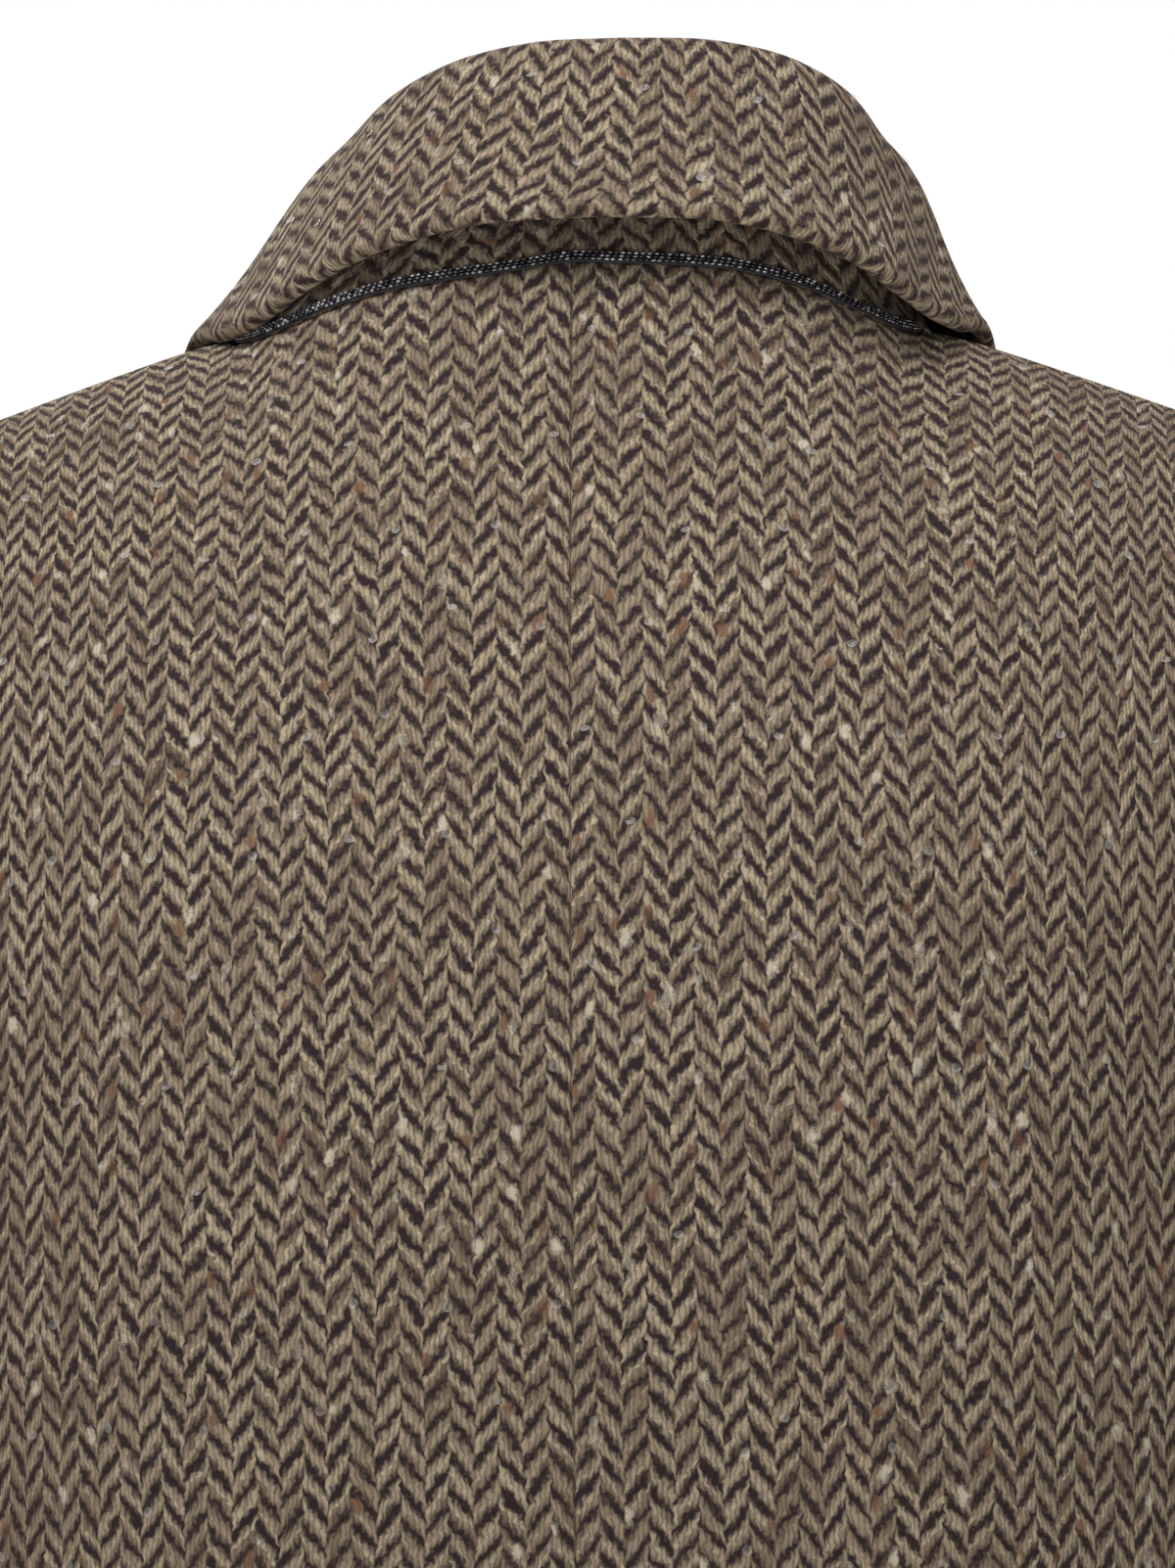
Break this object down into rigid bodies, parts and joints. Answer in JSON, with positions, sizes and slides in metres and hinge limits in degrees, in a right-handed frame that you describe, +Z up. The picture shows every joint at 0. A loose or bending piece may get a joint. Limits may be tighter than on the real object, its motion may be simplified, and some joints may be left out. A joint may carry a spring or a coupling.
{
  "type": "double-breasted blazer",
  "caption": "Worn double-breasted blazer with peak lapels, a folded two-layer collar, a beaded neck trim and two-piece sleeves, open at neck, hem and cuffs.",
  "frame": {"origin": "middle of the neck opening, level with the points where the shoulder seams meet the collar", "axes": "+Z up, the wearer faces -Y, the wearer's left arm is at +X"},
  "size_m": [0.5634, 0.2606, 0.7473],
  "materials": {
    "herringbone_tweed": "coarse matte",
    "gunmetal_beads": "polished beads",
    "dark_horn": "satin"
  },
  "bodies": {
    "root": {"back_left": "herringbone_tweed", "back_right": "herringbone_tweed", "side_left": "herringbone_tweed", "side_right": "herringbone_tweed", "front_left": "herringbone_tweed", "front_right": "herringbone_tweed", "lapel_left": "herringbone_tweed", "lapel_right": "herringbone_tweed", "collar_top": "herringbone_tweed", "collar_under": "herringbone_tweed", "neck_trim": "gunmetal_beads", "sleeve_top_left": "herringbone_tweed", "sleeve_top_right": "herringbone_tweed", "sleeve_under_left": "herringbone_tweed", "sleeve_under_right": "herringbone_tweed", "button_1": "dark_horn", "button_2": "dark_horn", "button_3": "dark_horn", "button_4": "dark_horn", "button_5": "dark_horn", "button_6": "dark_horn"}
  },
  "joints": []
}
